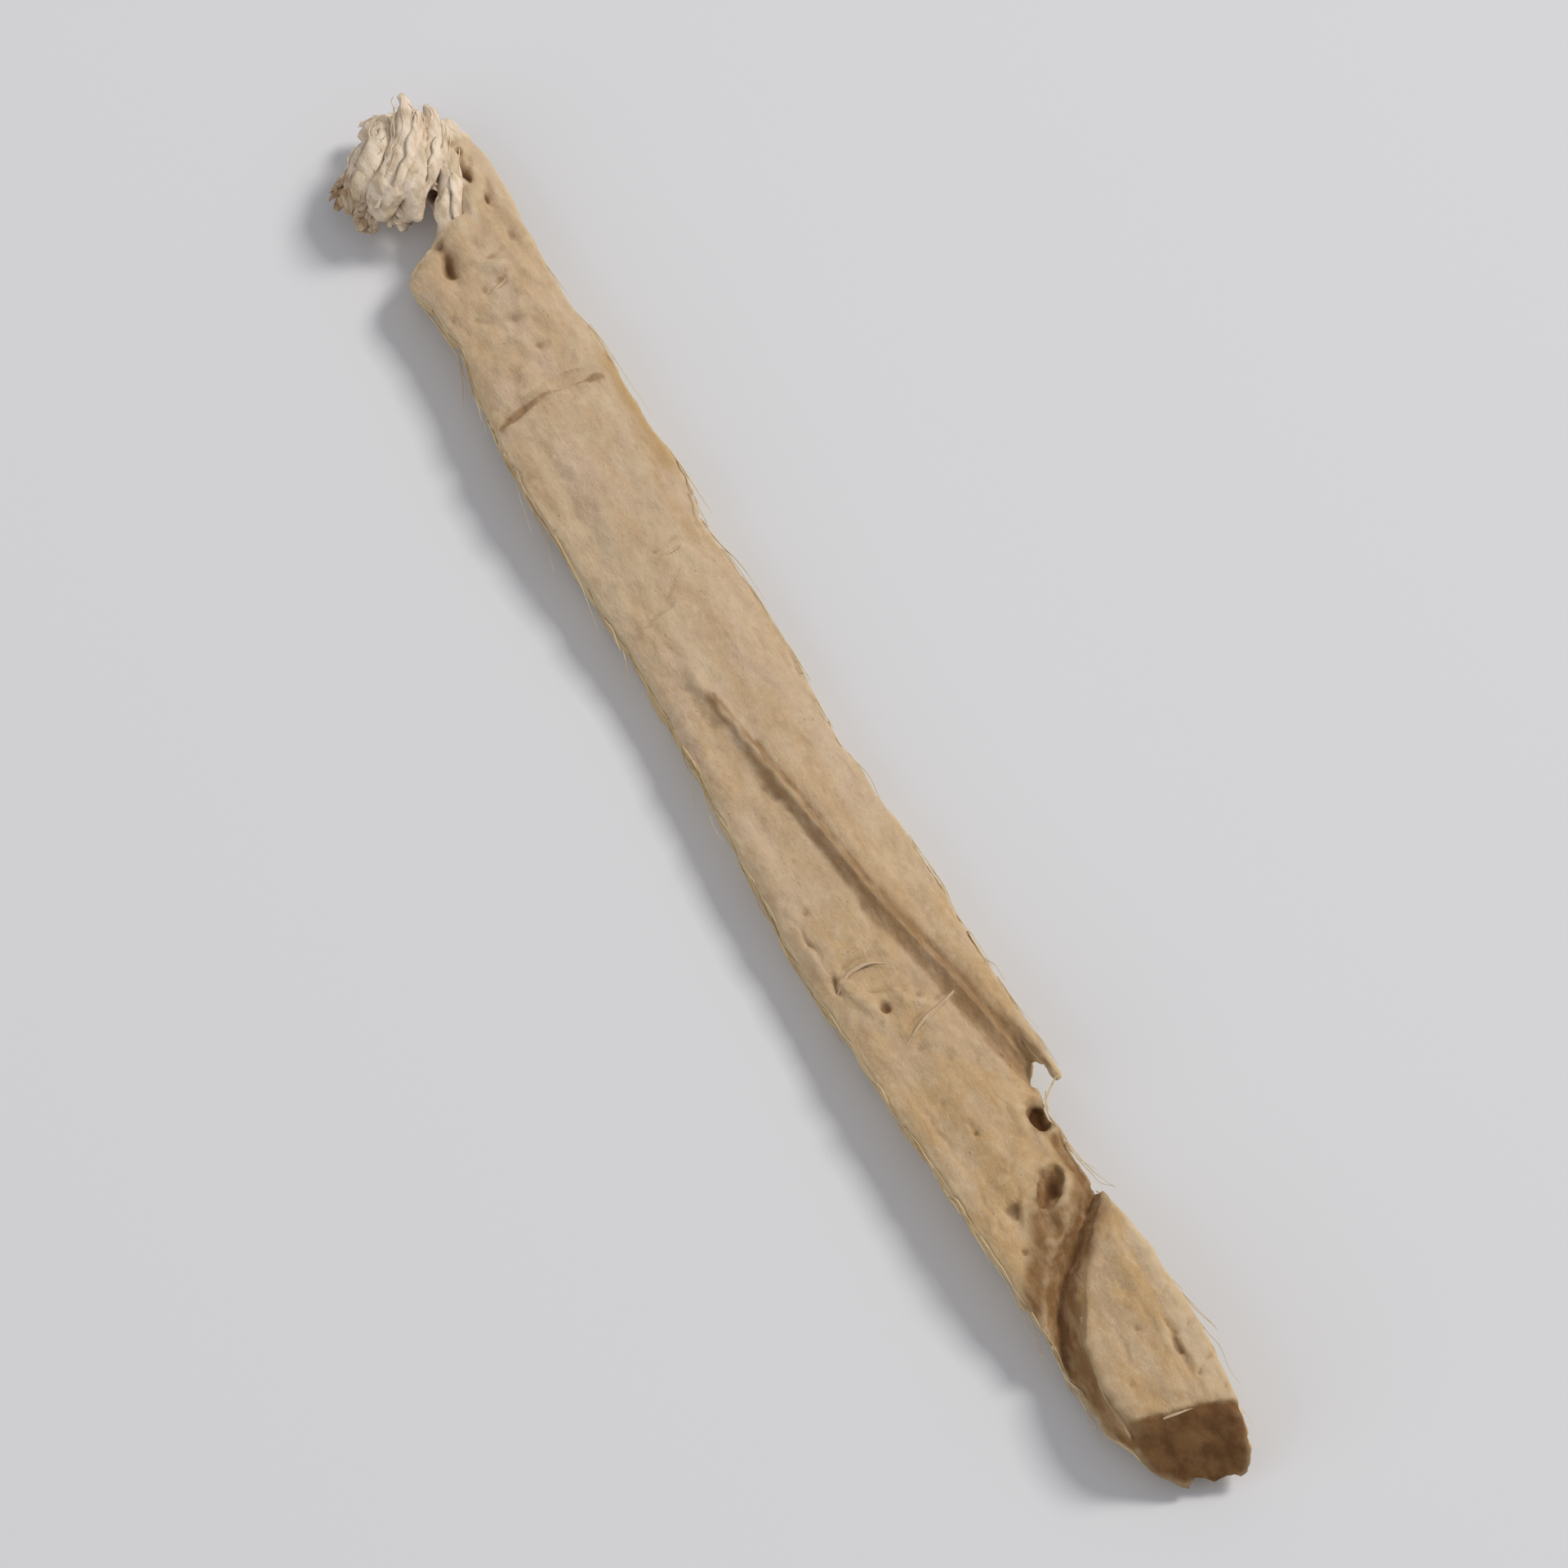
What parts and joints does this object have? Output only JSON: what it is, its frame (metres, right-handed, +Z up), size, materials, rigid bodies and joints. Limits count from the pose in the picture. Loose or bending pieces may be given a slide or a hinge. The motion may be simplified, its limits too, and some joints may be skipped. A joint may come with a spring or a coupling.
{
  "type": "cut stinging nettle root piece",
  "caption": "Flat split strip of dried stinging nettle root, bark side up, with a torn knot at one end, a long oblique split and a raised flap at the cut end.",
  "frame": {"origin": "bottom centre of the strip's bounding box, on the surface it rests on", "axes": "+X along the strip from the torn knot to the cut tail, +Y across it, +Z up through the bark side"},
  "size_m": [0.049, 0.0048, 0.0024],
  "materials": {
    "nettle_root": "dry matt bark in tan and beige, pale cream wood on the split sides, brown at the cut end"
  },
  "bodies": {
    "root": {"root_strip": "nettle_root"}
  },
  "joints": []
}
